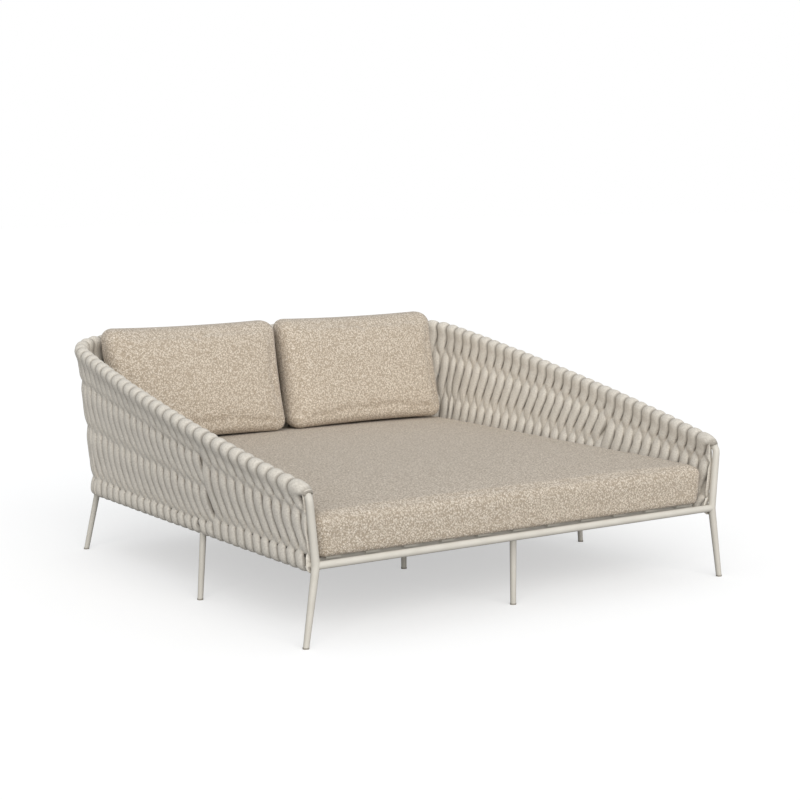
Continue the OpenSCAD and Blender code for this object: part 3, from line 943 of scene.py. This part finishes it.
@dataclass(frozen=True)
class StrapWeave:
    """Padded straps looped side by side round the rails, each with its two legs twisted."""

    rails: Rails = Rails()
    seed: int = 1002
    pitch_guide: float = 0.0625
    front_count: int = 11
    front_twist: Twist = Twist((0.27, 0.85))
    rear_twist: Twist = Twist((0.205, 0.54, 0.92))
    crossing_spread: float = 0.006
    width_spread: Band = (0.98, 1.02)
    thickness_spread: Band = (0.96, 1.05)
    # The line of a strap: how it goes round the rails, and how far its legs are from the middle.
    wrap_r: float = 0.0205
    swing: float = 0.0104
    thickness: float = 0.0190
    crest_thickness: float = 0.0185
    full_share: float = 1.02
    border_share: float = 1.14
    camber: float = 0.0044
    wrap_reach: float = 0.045
    leg_steps: int = 46
    wrap_steps: int = 14
    round_steps: int = 20
    # Its padded body: folds where it is gathered in, lumps (height, waves along, waves across) and
    # wavering edges.
    round_start: float = 0.1
    fullness: float = 0.95
    fold_depth: float = 0.22
    fold_waves: float = 7.0
    lumps: tuple[tuple[float, float, float], ...] = ((0.05, 9.0, 2.0), (0.03, 23.0, -3.0))
    edge_wobble: float = 0.0007
    edge_waves: float = 11.0
    # What the straps do at the front post. A band here is where a change starts and its reach.
    cap_start: float = 0.012
    cap_band: Band = (-0.004, 0.026)
    front_leg_share: float = 0.25
    hidden_share: float = 0.72
    hidden_band: Band = (0.01, 0.04)
    post_clear: float = 0.018
    post_squash: float = 0.08
    # How they part round the legs and the beams.
    leg_gap: float = 0.0150
    part_reach: float = 0.040
    part_rise: float = 2.2
    row_y: tuple[float, ...] = (-0.958, -0.203, 0.552)
    leg_row: int = 1
    back_leg_turn: float = math.radians(38.0)

    @cached_property
    def first(self) -> float:
        """Place of the first strap."""
        return self.rails.bend_reach + self.pitch_guide / 2.0

    @cached_property
    def half_count(self) -> int:
        """How many straps there are on one half."""
        return round((self.rails.half_len - self.first) / self.pitch_guide + 0.5)

    @cached_property
    def pitch(self) -> float:
        """Distance between two straps."""
        return (self.rails.half_len - self.first) / (self.half_count - 0.5)

    def loop(self, index: int, height: float, rng: np.random.Generator) -> Loop:
        """Lays out the middle line of one strap.

        Args:
            index: its number from the front.
            height: the distance between the rails there.
            rng: gives each strap its small differences.

        Returns:
            The strap's line and widths.
        """
        twist = self.front_twist if index < self.front_count else self.rear_twist
        moved = rng.normal(0.0, self.crossing_spread, len(twist.crossings))
        twist = replace(twist, crossings=tuple(np.array(twist.crossings) + moved))
        t = (np.arange(self.leg_steps) + 0.5) / self.leg_steps
        face, shift, share = twist.leg(t)
        top_near = 1.0 - smooth_step(t * height / self.wrap_reach)
        foot_near = 1.0 - smooth_step((1.0 - t) * height / self.wrap_reach)
        near = np.maximum(top_near, foot_near)
        foot_side = math.copysign(1.0, face[-1])
        held = np.where(t < 0.5, 1.0, foot_side) * self.wrap_r
        out = face * self.swing * (1.0 - near) + held * near
        share = share + (1.0 - share) * near
        shift = shift * self.pitch
        crest = self._wrap(-1.0, 1.0, -shift[0], shift[0])
        foot = self._wrap(foot_side, -foot_side, shift[-1], -shift[-1])
        down = t * height
        ones, none = np.ones(self.wrap_steps), np.zeros(self.leg_steps)
        share = np.concatenate([ones, share, ones, share[::-1]])
        close = np.concatenate([ones, near, ones, near[::-1]])
        at_border = index in (self.front_count - 1, self.front_count)
        full = self.border_share if at_border else self.full_share
        width = self.pitch * full * rng.uniform(*self.width_spread) * share
        if index < 0:
            width[self.wrap_steps:self.wrap_steps + self.leg_steps] *= self.front_leg_share
        thick = self.thickness + (self.crest_thickness - self.thickness) * close
        all_out = np.concatenate([crest[0], out, foot[0], -out[::-1]])
        facing = np.stack([all_out, np.concatenate([-crest[1], none, foot[1], none])], axis=-1)
        return Loop(all_out, np.concatenate([-crest[1], down, height + foot[1], down[::-1]]),
                    np.concatenate([crest[2], shift, foot[2], -shift[::-1]]), width,
                    thick * rng.uniform(*self.thickness_spread), 1.0 - share, facing / self.wrap_r)

    def _wrap(self, start: float, end: float, first: float, last: float) -> tuple[np.ndarray, ...]:
        """Lays a half turn round a rail.

        Args:
            start: the side it starts on, 1 outside and -1 inside.
            end: the side it ends on; not used, as a half turn always ends opposite its start.
            first: its shift at the start.
            last: its shift at the end.

        Returns:
            Its distances out, its distances past the rail's middle and its shifts.
        """
        u = (np.arange(self.wrap_steps) + 0.5) / self.wrap_steps
        angle = u * math.pi
        return (np.cos(angle) * start * self.wrap_r, np.sin(angle) * self.wrap_r,
                first + (last - first) * smooth_step(u))

    def skin(self, loop: Loop, rng: np.random.Generator) -> WallPoints:
        """Puts the padded body round a strap's line.

        Args:
            loop: the line.
            rng: gives each strap its own folds.

        Returns:
            The body's points, their lengths along the rail measured from the strap's middle.
        """
        line = np.stack([loop.out, loop.down], axis=-1)
        ahead = unit(np.roll(line, -1, axis=0) - np.roll(line, 1, axis=0))
        side = np.stack([-ahead[:, 1], ahead[:, 0]], axis=-1)
        angle = np.arange(self.round_steps) * 2.0 * math.pi / self.round_steps + self.round_start
        across = np.cos(angle)
        through = np.sign(np.sin(angle)) * np.abs(np.sin(angle)) ** self.fullness
        phase = rng.uniform(0.0, 2.0 * math.pi, 3)
        k = np.arange(len(loop.out))[:, None] / len(loop.out) * 2.0 * math.pi
        folds = np.cos(across * self.fold_waves + phase[0])
        folds = 1.0 + self.fold_depth * loop.pinch[:, None] * folds
        lumps = 1.0
        for (rise, along, aside), start in zip(self.lumps, phase[1:]):
            lumps = lumps + rise * np.sin(k * along + across * aside + start)
        half = loop.thickness[:, None] / 2.0 * folds * lumps * through
        tucked = self.camber * across**2
        out = line[:, :1] + side[:, :1] * half - loop.facing[:, :1] * tucked
        down = line[:, 1:] + side[:, 1:] * half - loop.facing[:, 1:] * tucked
        s = loop.shift[:, None] + across * loop.width[:, None] / 2.0
        wobble = np.sin(k * self.edge_waves + phase[1] + np.sign(across))
        return WallPoints(s + self.edge_wobble * wobble, out, down)

    def parted(self, spots: WallPoints, height: float) -> np.ndarray:
        """Parts the straps round the legs and beams that join the bottom rail.

        Args:
            spots: a strap's points.
            height: the distance between the rails.

        Returns:
            The lengths along the rail, moved aside.
        """
        rails, s = self.rails, spots.s
        low = smooth_step((spots.down - height + self.part_rise * rails.tube_r) / rails.tube_r)
        places = [(y - rails.front_y, row == self.leg_row) for row, y in enumerate(self.row_y)]
        leg_s = rails.side_len + rails.corner_len * self.back_leg_turn * 2.0 / math.pi
        for place, has_leg in [*places, (leg_s, True)]:
            away = s - place
            share = np.abs(away) / self.part_reach
            moved = np.sign(away) * (self.leg_gap + share * (self.part_reach - self.leg_gap))
            inside = low if has_leg else low * (spots.out < 0.0)
            s = np.where(share < 1.0, place + away + (moved - away) * inside, s)
        return s

    def capped(self, spots: WallPoints, middle: float) -> np.ndarray:
        """Draws the first strap's top forward over the bend into the post.

        Args:
            spots: the strap's points.
            middle: the strap's own middle.

        Returns:
            The lengths along the rail, drawn forward.
        """
        start, reach = self.cap_band
        stretch = (middle - self.cap_start) / (self.pitch / 2.0)
        share = 1.0 - smooth_step((spots.down - start) / reach)
        drawn = middle + (spots.s - middle) * (1.0 + (stretch - 1.0) * share)
        return np.where(spots.s < middle, drawn, spots.s)

    def tucked(self, spots: WallPoints) -> WallPoints:
        """Keeps the strap on the bend behind the post, its top hidden under the first strap's.

        Args:
            spots: the strap's points.

        Returns:
            The points, moved.
        """
        start, reach = self.hidden_band
        past = self.post_clear + (spots.s - self.post_clear) * self.post_squash
        shown = 1.0 - smooth_step((spots.down - start) / reach)
        return WallPoints(np.where(spots.s < self.post_clear, past, spots.s),
                          spots.out * (1.0 + (self.hidden_share - 1.0) * shown),
                          np.where(spots.down < 0.0, spots.down * self.hidden_share, spots.down))

    def strap(self, index: int, side: Side) -> tuple[np.ndarray, np.ndarray]:
        """Shapes one strap.

        Args:
            index: its number from the front.
            side: the half it is on.

        Returns:
            Its points in the daybed's frame, and their places on the cloth.
        """
        rng = np.random.default_rng(self.seed + index * 2 + (side is Side.LEFT))
        middle = self.first + index * self.pitch
        here = np.array([max(middle, self.rails.bend_reach)])
        height = float(np.linalg.norm(self.rails.top(here) - self.rails.base(here)))
        loop = self.loop(index, height, rng)
        body = self.skin(loop, rng)
        spots = replace(body, s=middle + body.s)
        spots.s = self.parted(spots, height)
        if index == 0:
            spots.s = self.capped(spots, middle)
        if index < 0:
            spots = self.tucked(spots)
        points = self.rails.wall(spots, height)
        points[..., 0] *= int(side)
        travelled = np.cumsum(np.hypot(np.diff(loop.out, prepend=loop.out[0]),
                                       np.diff(loop.down, prepend=loop.down[0])))
        along = np.broadcast_to(travelled[:, None], body.s.shape) + index
        return points, np.stack([body.s - loop.shift[:, None], along], axis=-1)

    def run(self, name: str, indices: Iterable[int], sides: Sequence[Side]) -> bpy.types.Object:
        """Builds straps as one piece.

        Args:
            name: the piece's name.
            indices: the straps' numbers from the front.
            sides: the halves they are on.

        Returns:
            The piece.
        """
        straps = [self.strap(index, side) for side in sides for index in indices]
        rows, columns, _ = straps[0][0].shape
        ring = ring_faces(rows, columns, closed=True)
        faces = np.concatenate([ring + rows * columns * k for k in range(len(straps))])
        points, cloth = (np.concatenate([s[part].reshape(rows * columns, -1) for s in straps])
                         for part in range(2))
        made = closed_piece(name, points, faces.tolist())
        layer = made.data.uv_layers.new(name="cloth")
        corners = np.empty(len(made.data.loops), dtype=np.int32)
        made.data.loops.foreach_get("vertex_index", corners)
        layer.data.foreach_set("uv", cloth[corners].ravel())
        return made

    def build(self, material: bpy.types.Material) -> list[bpy.types.Object]:
        """Builds every run of straps and puts each in its CAD node's place.

        Args:
            material: the straps' material.

        Returns:
            The pieces.
        """
        rails = self.rails
        side_last = math.floor((rails.side_len - self.first) / self.pitch)
        corner_last = math.floor((rails.side_len + rails.corner_len - self.first) / self.pitch)
        side_run, corner_run = range(-1, side_last + 1), range(side_last + 1, corner_last + 1)
        back_run = range(corner_last + 1, self.half_count)
        left, right = (Side.LEFT,), (Side.RIGHT,)
        runs = [("left_side_straps", side_run, left), ("right_side_straps", side_run, right),
                ("left_corner_straps", corner_run, left),
                ("right_corner_straps", corner_run, right), ("back_straps", back_run, right + left)]
        return [dressed(self.run("woven_" + node, indices, sides), material, "frame", node)
                for node, indices, sides in runs]


# Stuffed pieces


@dataclass(frozen=True)
class StuffedForm:
    """A stuffed form: rounded edges, crowned faces, and sides that draw in between its corners."""

    half_x: float
    half_y: float
    height: float
    front_r: float
    back_r: float
    edge_r: float
    under_r: float
    top_crown: float
    under_crown: float
    draw: float
    arc_steps: int = 8
    side_parts: int = 30
    edge_steps: int = 7
    face_rings: int = 16

    def outline(self, inset: float) -> np.ndarray:
        """Walks once round the form.

        Args:
            inset: how far inside the outer edge.

        Returns:
            The points.
        """
        hx, hy = self.half_x - inset, self.half_y - inset
        corners = []
        for q, (sx, sy) in enumerate(((1, 1), (-1, 1), (-1, -1), (1, -1))):
            r = (self.back_r if q < 2 else self.front_r) - inset
            angle = np.radians(90.0 * q + np.linspace(0.0, 90.0, self.arc_steps + 1))
            centre = np.array([sx * (hx - r), sy * (hy - r)])
            corners.append(centre + r * np.stack([np.cos(angle), np.sin(angle)], axis=-1))
        parts = []
        for q, arc in enumerate(corners):
            a, b = arc[-1], corners[(q + 1) % 4][0]
            t = np.linspace(0.0, 1.0, self.side_parts + 1)[1:-1, None]
            turn = math.radians(90.0 * (q + 1))
            pull = self.draw * 4.0 * t * (1.0 - t) * np.array([math.cos(turn), math.sin(turn)])
            parts += [arc, a + (b - a) * t - pull]
        return np.concatenate(parts)

    def rise(self, xy: np.ndarray) -> np.ndarray:
        """Gives how much of the crown there is at places: 1 in the middle and 0 at the sides."""
        x, y = np.abs(xy[:, 0] / self.half_x), np.abs(xy[:, 1] / self.half_y)
        return np.clip(1.0 - x**CROWN_POWER, 0.0, 1.0) * np.clip(1.0 - y**CROWN_POWER, 0.0, 1.0)

    def rings(self) -> list[np.ndarray]:
        """Lays out the form in rings, from near the middle of its underside to near that of its top.

        Returns:
            The rings' points.
        """
        low, high, under, over = self.under_r, self.edge_r, -self.under_crown, self.top_crown
        shares = np.cos(np.linspace(0.0, QUARTER, self.face_rings + 1))[1:-1]
        edge = [(1 - math.cos(turn), 1 - math.sin(turn))
                for turn in np.linspace(0.0, QUARTER, self.edge_steps + 1)]
        levels = [(low, share, 0.0, under) for share in shares[::-1]]
        levels += [(low * inset, 1.0, low * z, under) for inset, z in edge[::-1]]
        levels += [(high * inset, 1.0, self.height - high * z, over) for inset, z in edge]
        levels += [(high, share, self.height, over) for share in shares]
        rings = []
        for inset, share, z, crown in levels:
            xy = self.outline(inset) * share
            rings.append(np.column_stack([xy, z + crown * self.rise(xy)]))
        return rings

    def mesh(self, name: str, place: Mover) -> bpy.types.Object:
        """Builds the form.

        Args:
            name: the piece's name.
            place: puts the form's own points in the daybed's frame.

        Returns:
            The piece.
        """
        rings = self.rings()
        rows, count = len(rings), len(rings[0])
        foot, summit, last = rows * count, rows * count + 1, (rows - 1) * count
        points = np.vstack([*rings, [0, 0, -self.under_crown], [0, 0, self.height + self.top_crown]])
        faces = ring_faces(rows, count, closed=False).tolist()
        for k in range(count):
            after = (k + 1) % count
            faces += [[foot, after, k], [summit, last + k, last + after]]
        return closed_piece(name, place(points), faces)


@dataclass(frozen=True)
class Stuffing:
    """How a cover is blown up and where it is held."""

    voxel: float
    pressure: float = 4.0
    cap: float = 0.024
    draw_in: float = 0.002
    frames: int = 20
    smooth_rounds: int = 2

    def swell(self, piece: bpy.types.Object, hold: Mover) -> None:
        """Blows a closed cover up as cloth and keeps the result.

        Args:
            piece: the cover.
            hold: keeps points clear of what the piece rests on.
        """
        modified(piece, "REMESH", mode="VOXEL", voxel_size=self.voxel)
        baked(piece)
        self._simulate(piece)
        set_points(piece.data, hold(rows_of(piece.data)))
        modified(piece, "SMOOTH", iterations=self.smooth_rounds)
        modified(piece, "SUBSURF", levels=1, render_levels=1)
        baked(piece)
        piece.data.shade_smooth()

    def _simulate(self, piece: bpy.types.Object) -> None:
        """Runs the cloth for a few frames.

        Args:
            piece: the cover.
        """
        scene = bpy.context.scene
        start, normals = rows_of(piece.data), rows_of(piece.data, "normal")
        cloth = modified(piece, "CLOTH")
        set_all(cloth.settings, {
            "quality": 5, "mass": 0.3, "tension_stiffness": 12.0, "compression_stiffness": 12.0,
            "shear_stiffness": 6.0, "bending_stiffness": 0.6, "use_pressure": True,
            "uniform_pressure_force": self.pressure})
        cloth.settings.effector_weights.gravity = 0.0
        set_all(cloth.collision_settings, {"use_collision": False, "use_self_collision": False})
        set_all(cloth.point_cache, {"frame_start": 1, "frame_end": self.frames})
        for frame in range(1, self.frames + 1):
            scene.frame_set(frame)
        baked(piece)
        scene.frame_set(1)
        moved = rows_of(piece.data) - start
        outward = np.sum(moved * normals, axis=1, keepdims=True)
        along = moved - outward * normals
        limit = np.where(outward > 0.0, self.cap, self.draw_in)
        set_points(piece.data, start + normals * self._held(outward, limit)
                   + self._held(along, self.cap))

    @staticmethod
    def _held(moved: np.ndarray, limit: Union[float, np.ndarray]) -> np.ndarray:
        """Eases movements so that none is longer than a limit."""
        share = np.linalg.norm(moved, axis=1, keepdims=True) / limit
        return moved * np.tanh(share) / np.maximum(share, TINY)


@dataclass(frozen=True)
class Mattress:
    """The one-piece mattress on the deck."""

    rails: Rails = Rails()
    gap: float = 0.005
    height: float = 0.155
    crown: float = 0.024
    edge_r: float = 0.038
    under_r: float = 0.007
    front_r: float = 0.040
    draw: float = 0.003
    flare: float = 0.026
    deck_clear: float = 0.0004
    shrink: float = 0.003
    side_parts: int = 60
    face_rings: int = 30
    stuffing: Stuffing = Stuffing(voxel=0.014, cap=0.007)

    @cached_property
    def half_w(self) -> float:
        """Half of its width, between the straps."""
        return self.rails.base_half_w - self.rails.strap_depth - self.rails.side_slack - self.gap

    @cached_property
    def ends(self) -> tuple[float, float]:
        """Its front and its back."""
        front = self.rails.front_y + self.rails.tube_r + self.gap
        return front, self.rails.base_back_y - self.rails.strap_depth - self.gap

    @cached_property
    def foot_z(self) -> float:
        """Where it lies on the deck."""
        return self.rails.rail_z + self.rails.tube_r + self.deck_clear

    def place(self, points: np.ndarray) -> np.ndarray:
        """Lays the form on the deck, its sides flared with the arms.

        Args:
            points: points of the form.

        Returns:
            The points in the daybed's frame.
        """
        risen = np.clip(points[:, 2] / self.height, 0.0, 1.0)
        points[:, 0] *= 1.0 + self.flare / self.half_w * risen
        return points + np.array([0.0, sum(self.ends) / 2.0, self.foot_z])

    def hold(self, points: np.ndarray) -> np.ndarray:
        """Keeps points over the deck."""
        points[:, 2] = np.maximum(points[:, 2], self.foot_z)
        return points

    def build(self, material: bpy.types.Material) -> bpy.types.Object:
        """Builds the mattress.

        Args:
            material: its cover's material.

        Returns:
            The piece.
        """
        front, back = self.ends
        back_r = self.rails.base_corner_r - self.rails.strap_depth
        form = StuffedForm(self.half_w - self.shrink, (back - front) / 2.0 - self.shrink,
                           self.height - self.shrink, self.front_r, back_r, self.edge_r,
                           self.under_r, self.crown, 0.0, self.draw, side_parts=self.side_parts,
                           face_rings=self.face_rings)
        piece = form.mesh("mattress_cloth", self.place)
        self.stuffing.swell(piece, self.hold)
        dressed(piece, material, "mattress", "mattress_cover")
        return piece


@dataclass(frozen=True)
class BackCushion:
    """A loose cushion that stands on the mattress and leans against the back."""

    side: Side
    mattress: Mattress = Mattress()
    width: float = 0.841
    tall: float = 0.521
    thick: float = 0.135
    crown: float = 0.030
    back_crown: float = 0.086
    corner_r: float = 0.054
    draw_share: float = 1.0 / 8.0
    edge_share: float = 0.36
    lean: float = math.radians(13.0)
    split: float = 0.014
    split_share: float = 0.25
    sink_share: float = 0.64
    touch_share: float = 0.72
    shrink: float = 0.004
    sag: float = 0.002
    stuffing: Stuffing = Stuffing(voxel=0.0085, cap=0.012)

    @cached_property
    def foot_z(self) -> float:
        """Where it stands on the mattress."""
        bed = self.mattress
        return bed.foot_z + bed.deck_clear + bed.height + bed.crown * self.sink_share

    @cached_property
    def back_y(self) -> float:
        """Its back's place at its foot."""
        rails = self.mattress.rails
        touch = self.tall * self.touch_share
        top_z = rails.top(np.array([rails.half_len]))[0, 2]
        rise = (self.foot_z + touch * math.cos(self.lean) - rails.rail_z) / (top_z - rails.rail_z)
        wall_y = rails.base_back_y + rails.back_flare * rise - rails.strap_depth - rails.side_slack
        swell = self.back_crown * (1.0 - (2.0 * self.touch_share - 1.0) ** CROWN_POWER)
        return wall_y - swell - touch * math.sin(self.lean)

    def place(self, points: np.ndarray) -> np.ndarray:
        """Stands the form up, one face forward.

        Args:
            points: points of the form.

        Returns:
            The points in the daybed's frame.
        """
        up = points[:, 1] + self.tall / 2.0 - self.sag
        return np.column_stack([
            int(self.side) * (self.split / 2.0 + self.width / 2.0 + points[:, 0]),
            self.back_y - self.shrink - points[:, 2] + up * math.sin(self.lean),
            self.foot_z + up * math.cos(self.lean)])

    def hold(self, points: np.ndarray) -> np.ndarray:
        """Keeps points over the mattress and clear of the other cushion.

        Args:
            points: the cushion's points.

        Returns:
            The points, held.
        """
        points[:, 2] = np.maximum(points[:, 2], self.foot_z)
        inner = np.clip(int(self.side) * points[:, 0], self.split * self.split_share,
                        self.split / 2.0 + self.width)
        points[:, 0] = int(self.side) * inner
        return points

    def build(self, material: bpy.types.Material) -> bpy.types.Object:
        """Builds the cushion.

        Args:
            material: its cover's material.

        Returns:
            The piece.
        """
        edge_r = self.thick * self.edge_share
        form = StuffedForm(self.width / 2.0 - self.shrink, self.tall / 2.0 - self.shrink,
                           self.thick - 2.0 * self.shrink, self.corner_r, self.corner_r, edge_r,
                           edge_r, self.crown, self.back_crown, self.corner_r * self.draw_share)
        label = self.side.name.lower() + "_cushion"
        piece = form.mesh(label + "_cloth", self.place)
        self.stuffing.swell(piece, self.hold)
        dressed(piece, material, label, label + "_cover")
        return piece


# The studio


@dataclass(frozen=True)
class Studio:
    """A white studio with a soft key light, and the camera."""

    place: tuple[float, float, float] = (-3.83141, -6.07828, 1.57843)
    yaw: float = 0.576472086
    pitch: float = 0.123861276
    roll: float = -0.009365308
    lens: float = 77.56
    sensor: float = 36.0
    view_reach: float = 200.0
    floor_half: float = 60.0
    key_strength: float = 2.60
    key_spread: float = math.radians(70.0)
    key_toward: tuple[float, float, float] = (-0.34, -0.87, 0.33)
    key_colour: Colour = (1.0, 0.985, 0.96)
    fill_strength: float = 0.55
    fill_colour: Colour = (0.96, 0.98, 1.0)
    floor_bounce: float = 0.30
    floor_white: float = 0.93
    floor_glow: float = 1.66
    floor_glow_share: float = 0.30

    def camera(self) -> None:
        """Makes the camera and gives it to the scene."""
        data = bpy.data.cameras.new("camera")
        data.lens, data.sensor_width, data.clip_end = self.lens, self.sensor, self.view_reach
        forward = Vector((math.sin(self.yaw) * math.cos(self.pitch),
                          math.cos(self.yaw) * math.cos(self.pitch), -math.sin(self.pitch)))
        right = Vector((math.cos(self.yaw), -math.sin(self.yaw), 0.0))
        up = right.cross(forward)
        across = right * math.cos(self.roll) + up * math.sin(self.roll)
        above = up * math.cos(self.roll) - right * math.sin(self.roll)
        turned = Matrix((across, above, -forward)).transposed().to_4x4()
        made = in_scene("camera", data)
        made.matrix_world = Matrix.Translation(self.place) @ turned
        bpy.context.scene.camera = made

    def key(self) -> None:
        """Hangs the key light."""
        data = bpy.data.lights.new("key", "SUN")
        data.energy, data.angle, data.color = self.key_strength, self.key_spread, self.key_colour
        toward = Vector(self.key_toward).normalized()
        in_scene("key", data).matrix_world = toward.to_track_quat("Z", "Y").to_matrix().to_4x4()

    def world(self) -> None:
        """Fills the studio with soft light, and shows white behind the daybed."""
        graph = Graph(bpy.data.worlds.new("studio"))
        fill = graph.node("ShaderNodeBackground", {}, {"Color": (*self.fill_colour, 1.0),
                                                       "Strength": self.fill_strength})
        shown = graph.node("ShaderNodeBackground", {}, {"Color": (1.0, 1.0, 1.0, 1.0)})
        graph.node("ShaderNodeOutputWorld", {},
                   {"Surface": graph.to_camera(fill.outputs[0], shown.outputs[0])})
        bpy.context.scene.world = graph.owner

    def floor(self) -> None:
        """Lays the floor: white where it is lit, grey only in the shadow."""
        h = self.floor_half
        mesh = bpy.data.meshes.new("floor")
        mesh.from_pydata([(-h, -h, 0.0), (h, -h, 0.0), (h, h, 0.0), (-h, h, 0.0)], [], [(0, 1, 2, 3)])
        graph = Graph(bpy.data.materials.new("floor"))
        dull, white = (graph.node("ShaderNodeBsdfDiffuse", {}, {"Color": (shade, shade, shade, 1.0)})
                       for shade in (self.floor_bounce, self.floor_white))
        glow = graph.node("ShaderNodeEmission", {}, {"Strength": self.floor_glow})
        shown = graph.node("ShaderNodeMixShader", {}, {0: self.floor_glow_share, 1: white.outputs[0],
                                                       2: glow.outputs[0]})
        graph.node("ShaderNodeOutputMaterial", {},
                   {"Surface": graph.to_camera(dull.outputs[0], shown.outputs[0])})
        mesh.materials.append(graph.owner)
        in_scene("floor", mesh)

    def build(self) -> None:
        """Sets up the floor and the lights."""
        self.floor()
        self.key()
        self.world()
        LOG.info("studio is lit")


@dataclass(frozen=True)
class FrameFinishes:
    """Which finish each CAD node that still shows is given."""

    paint: PowderCoat = PowderCoat()
    foam: Foam = Foam()
    plastic: GlidePlastic = GlidePlastic()
    foam_end: str = "_core"
    plastic_end: str = "_glides"
    replaced_ends: tuple[str, ...] = ("straps", "cover")

    def dress(self, nodes: dict[str, bpy.types.Object]) -> None:
        """Gives every CAD node that isn't replaced its material.

        Args:
            nodes: the frame's nodes by name.
        """
        paint, foam, plastic = (f.material() for f in (self.paint, self.foam, self.plastic))
        for name, node in nodes.items():
            if name.endswith(self.replaced_ends):
                continue
            ends = ((self.foam_end, foam), (self.plastic_end, plastic), ("", paint))
            node.data.materials.clear()
            node.data.materials.append(next(m for end, m in ends if name.endswith(end)))
            LOG.info("%s: %s", name, node.data.materials[0].name)


def main() -> None:
    """Builds the daybed in its studio."""
    logging.basicConfig(level=logging.INFO, format="%(name)s: %(message)s")
    studio = Studio()
    studio.camera()
    bpy.context.scene.view_settings.view_transform = "Standard"
    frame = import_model()
    FrameFinishes().dress(frame["nodes"])
    pieces = StrapWeave().build(StrapTextile().material())
    fabric = LoopedFabric().material()
    pieces += [loose.build(fabric) for loose in (Mattress(), *map(BackCushion, Side))]
    for piece in pieces:
        LOG.info("%s: %d points", piece.name, len(piece.data.vertices))
    studio.build()


if __name__ == "__main__":
    main()
